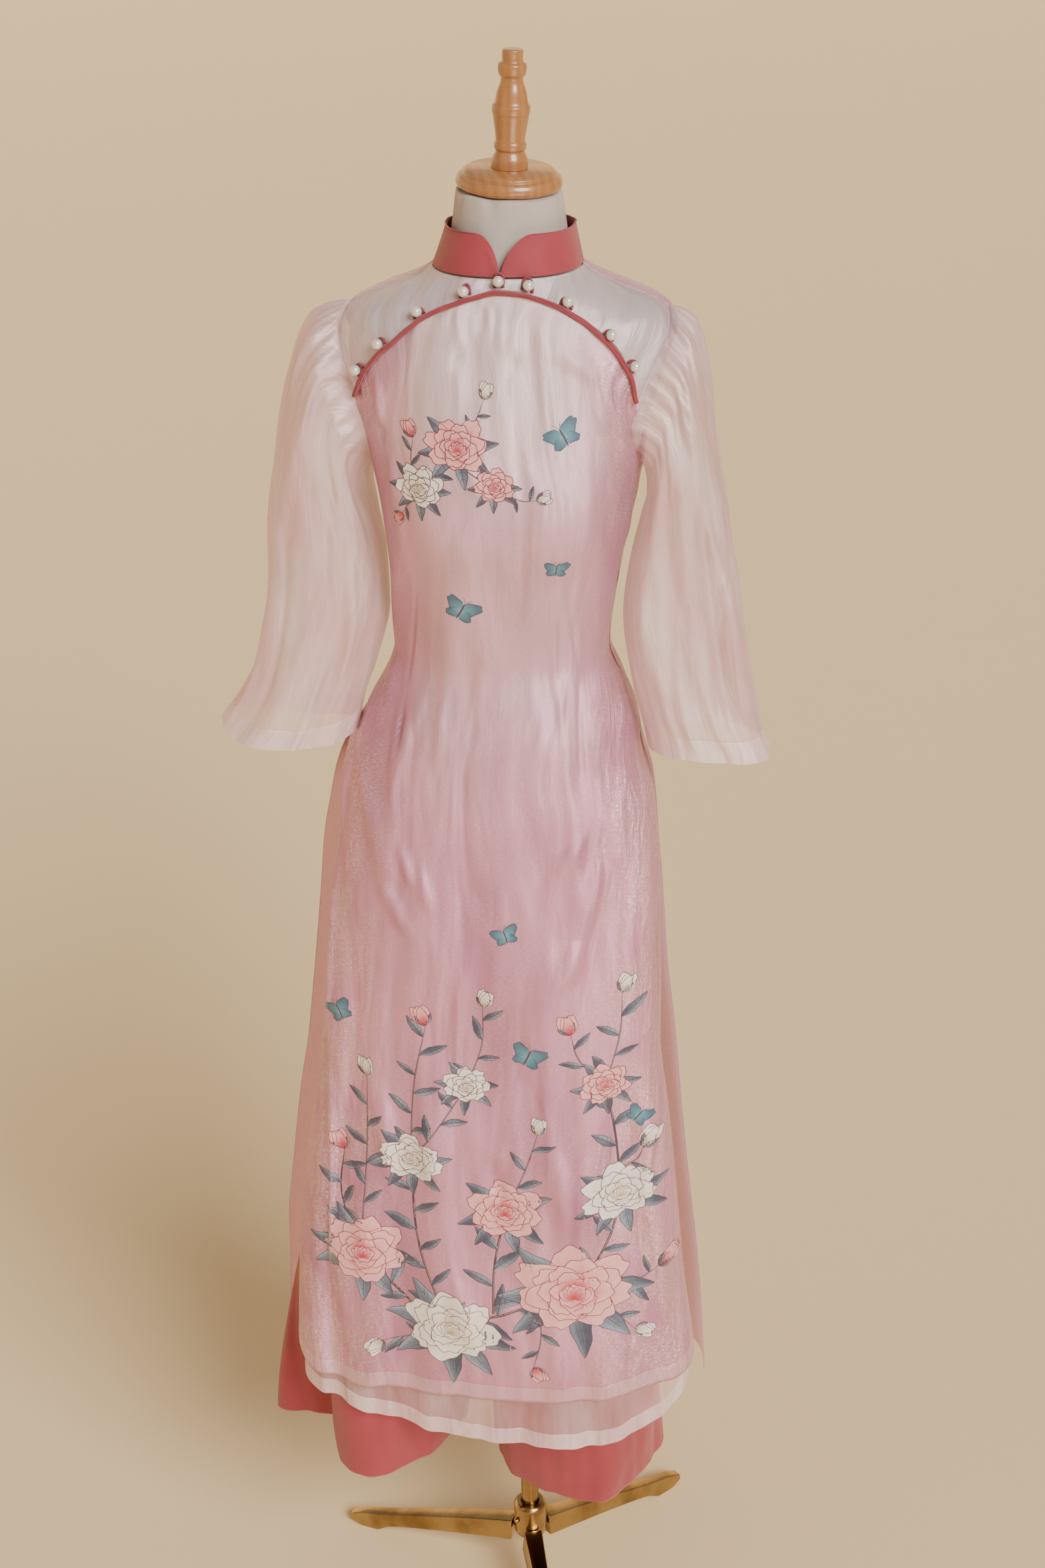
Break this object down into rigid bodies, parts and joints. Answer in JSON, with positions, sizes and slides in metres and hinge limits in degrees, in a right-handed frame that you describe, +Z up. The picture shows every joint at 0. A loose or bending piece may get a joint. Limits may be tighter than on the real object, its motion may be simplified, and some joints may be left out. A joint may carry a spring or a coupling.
{
  "type": "ao dai on dress form",
  "caption": "Long pink ao dai with sheer bell sleeves, stand collar and floral print over wide coral trousers, worn on a limbless dress form with wooden cap and brass stand.",
  "frame": {"origin": "on the floor, under the middle of the bounding box; the stand's pole rises 21 mm to +X and 28 mm to +Y of it", "axes": "+Z up along the pole, the front of the garment faces -Y, +X is the viewer's right and the wearer's left"},
  "size_m": [0.5462, 0.391, 1.7513],
  "materials": {
    "satin": "shimmering pink satin organza, printed with flowers on the front",
    "organza": "sheer pale pink organza with a soft gloss",
    "coral": "dusty coral matte satin",
    "pearl": "glossy cream imitation pearl",
    "form_cloth": "plain light grey-beige jersey",
    "wood": "varnished light wood",
    "brass": "polished"
  },
  "bodies": {
    "root": {"back_panel": "satin", "collar": "coral", "finial": "wood", "form_torso": "form_cloth", "front_panel": "satin", "hub": "brass", "loop_1": "coral", "loop_2": "coral", "loop_3": "coral", "loop_4": "coral", "loop_5": "coral", "loop_6": "coral", "loop_7": "coral", "loop_8": "coral", "loop_9": "coral", "neck_cap": "wood", "pearl_1": "pearl", "pearl_2": "pearl", "pearl_3": "pearl", "pearl_4": "pearl", "pearl_5": "pearl", "pearl_6": "pearl", "pearl_7": "pearl", "pearl_8": "pearl", "pearl_9": "pearl", "piping": "coral", "pole": "brass", "set_screw": "brass", "sleeve_left": "organza", "sleeve_right": "organza", "stand_leg_1": "brass", "stand_leg_2": "brass", "stand_leg_3": "brass", "trouser_leg_left": "coral", "trouser_leg_right": "coral", "under_layer": "organza", "waistband": "coral", "yoke_front": "organza"}
  },
  "joints": []
}
